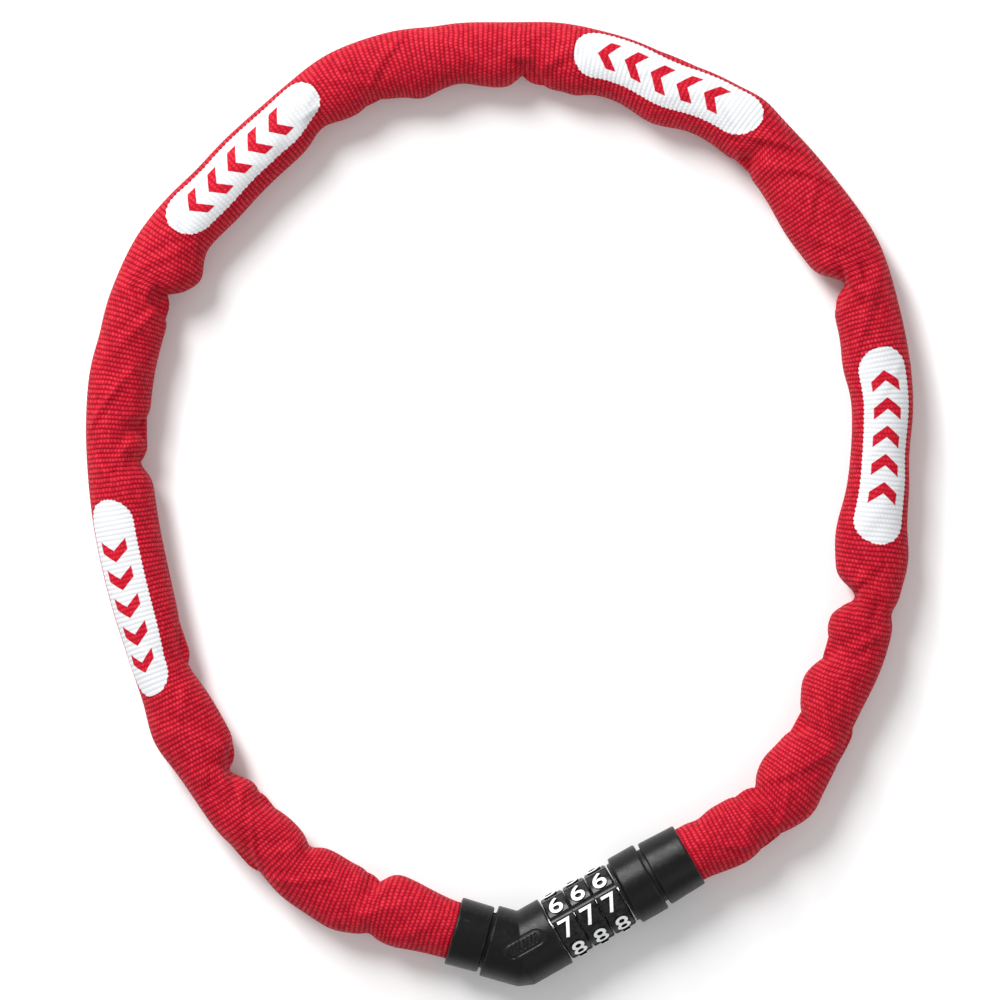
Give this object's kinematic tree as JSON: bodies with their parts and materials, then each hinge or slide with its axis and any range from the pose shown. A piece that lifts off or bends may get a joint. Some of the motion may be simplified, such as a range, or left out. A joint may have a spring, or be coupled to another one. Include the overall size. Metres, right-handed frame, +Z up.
{
  "type": "chain lock",
  "caption": "Combination chain lock lying closed: square-link chain in a red woven sleeve, joined by a black elbowed lock head with turning number dials.",
  "frame": {"origin": "centre of the outline seen from above, on the table", "axes": "+Z up from the table, +Y from the lock head across the loop, +X to the right seen from above; the lock axis runs 29.7 degrees from +X"},
  "size_m": [0.2381, 0.276, 0.0207],
  "materials": {
    "moulded_black": "satin moulded",
    "dial_black": "satin moulded, white numerals",
    "zinc_casting": "black dipped casting",
    "hardened_steel": "ground",
    "pin_steel": "bright",
    "brass": "machined",
    "chain_steel": "zinc plated",
    "woven_sleeve": "woven polyester"
  },
  "bodies": {
    "lock_body": {"core_tube": "hardened_steel", "click_spring": "pin_steel", "tube_pin": "pin_steel", "collar": "moulded_black", "body_core": "zinc_casting", "right_cap": "moulded_black", "right_anchor_pin": "pin_steel"},
    "bolt_end": {"elbow_cover": "moulded_black", "elbow_core": "zinc_casting", "lock_bolt": "hardened_steel", "bolt_pin": "pin_steel", "left_anchor_pin": "pin_steel", "left_cap": "moulded_black"},
    "dial_1": {"dial_ring_1": "dial_black", "code_disc_1": "brass"},
    "dial_2": {"dial_ring_2": "dial_black", "code_disc_2": "brass"},
    "dial_3": {"dial_ring_3": "dial_black", "code_disc_3": "brass"},
    "chain_1": {"chain_links_1": "chain_steel", "sleeve_1": "woven_sleeve"},
    "chain_2": {"chain_links_2": "chain_steel", "sleeve_2": "woven_sleeve"},
    "chain_3": {"chain_links_3": "chain_steel", "sleeve_3": "woven_sleeve"},
    "chain_4": {"chain_links_4": "chain_steel", "sleeve_4": "woven_sleeve"},
    "chain_5": {"chain_links_5": "chain_steel", "sleeve_5": "woven_sleeve"},
    "chain_6": {"chain_links_6": "chain_steel", "sleeve_6": "woven_sleeve"},
    "chain_7": {"chain_links_7": "chain_steel", "sleeve_7": "woven_sleeve"},
    "chain_8": {"chain_links_8": "chain_steel", "sleeve_8": "woven_sleeve"},
    "chain_9": {"chain_links_9": "chain_steel", "sleeve_9": "woven_sleeve"},
    "chain_10": {"chain_links_10": "chain_steel", "sleeve_10": "woven_sleeve"},
    "chain_11": {"chain_links_11": "chain_steel", "sleeve_11": "woven_sleeve"}
  },
  "joints": [
    {"name": "bolt_slide", "type": "slide", "parent": "lock_body", "child": "bolt_end", "axis": [-0.8686, -0.4955, 0], "range_m": [0, 0.04]},
    {"name": "dial_turn_1", "type": "hinge", "parent": "lock_body", "child": "dial_1", "pos_m": [0.0253, -0.1169, 0.01035], "axis": [0.8686, 0.4955, 0], "continuous": true},
    {"name": "dial_turn_2", "type": "hinge", "parent": "lock_body", "child": "dial_2", "pos_m": [0.0253, -0.1169, 0.01035], "axis": [0.8686, 0.4955, 0], "continuous": true},
    {"name": "dial_turn_3", "type": "hinge", "parent": "lock_body", "child": "dial_3", "pos_m": [0.0253, -0.1169, 0.01035], "axis": [0.8686, 0.4955, 0], "continuous": true},
    {"name": "flex_1", "type": "hinge", "parent": "bolt_end", "child": "chain_1", "pos_m": [-0.00992, -0.12322, 0.01035], "axis": [0, 0, 1], "range_deg": [-0.89, 0.3]},
    {"name": "flex_2", "type": "hinge", "parent": "chain_1", "child": "chain_2", "pos_m": [-0.06464, -0.0995, 0.0085], "axis": [0, 0, 1], "range_deg": [-3.71, 0.3]},
    {"name": "flex_3", "type": "hinge", "parent": "chain_2", "child": "chain_3", "pos_m": [-0.09601, -0.04648, 0.0085], "axis": [0, 0, 1], "range_deg": [-2.4, 0.3]},
    {"name": "flex_4", "type": "hinge", "parent": "chain_3", "child": "chain_4", "pos_m": [-0.10893, 0.01393, 0.0085], "axis": [0, 0, 1], "range_deg": [-0.3, 1.93]},
    {"name": "flex_5", "type": "hinge", "parent": "chain_4", "child": "chain_5", "pos_m": [-0.09439, 0.07302, 0.0085], "axis": [0, 0, 1], "range_deg": [-0.3, 4.26]},
    {"name": "flex_6", "type": "hinge", "parent": "chain_5", "child": "chain_6", "pos_m": [-0.04993, 0.11578, 0.0085], "axis": [0, 0, 1], "range_deg": [-0.3, 4.73]},
    {"name": "flex_7", "type": "hinge", "parent": "chain_6", "child": "chain_7", "pos_m": [0.00954, 0.12771, 0.0085], "axis": [0, 0, 1], "range_deg": [-0.3, 3.7]},
    {"name": "flex_8", "type": "hinge", "parent": "chain_7", "child": "chain_8", "pos_m": [0.06745, 0.1084, 0.0085], "axis": [0, 0, 1], "range_deg": [-0.3, 1.69]},
    {"name": "flex_9", "type": "hinge", "parent": "chain_8", "child": "chain_9", "pos_m": [0.10333, 0.0589, 0.0085], "axis": [0, 0, 1], "range_deg": [-1.7, 0.3]},
    {"name": "flex_10", "type": "hinge", "parent": "chain_9", "child": "chain_10", "pos_m": [0.10756, -0.00232, 0.0085], "axis": [0, 0, 1], "range_deg": [-4.57, 0.3]},
    {"name": "flex_11", "type": "hinge", "parent": "chain_10", "child": "chain_11", "pos_m": [0.09389, -0.06239, 0.0085], "axis": [0, 0, 1], "range_deg": [-3.31, 0.3]}
  ],
  "couplings": [
    {"joint": "flex_1", "follows": "bolt_slide", "rad_per_m": -0.25732},
    {"joint": "flex_2", "follows": "bolt_slide", "rad_per_m": -1.4872},
    {"joint": "flex_3", "follows": "bolt_slide", "rad_per_m": -0.9167},
    {"joint": "flex_4", "follows": "bolt_slide", "rad_per_m": 0.71064},
    {"joint": "flex_5", "follows": "bolt_slide", "rad_per_m": 1.7263},
    {"joint": "flex_6", "follows": "bolt_slide", "rad_per_m": 1.9349},
    {"joint": "flex_7", "follows": "bolt_slide", "rad_per_m": 1.4823},
    {"joint": "flex_8", "follows": "bolt_slide", "rad_per_m": 0.60577},
    {"joint": "flex_9", "follows": "bolt_slide", "rad_per_m": -0.61253},
    {"joint": "flex_10", "follows": "bolt_slide", "rad_per_m": -1.8649},
    {"joint": "flex_11", "follows": "bolt_slide", "rad_per_m": -1.3136}
  ]
}
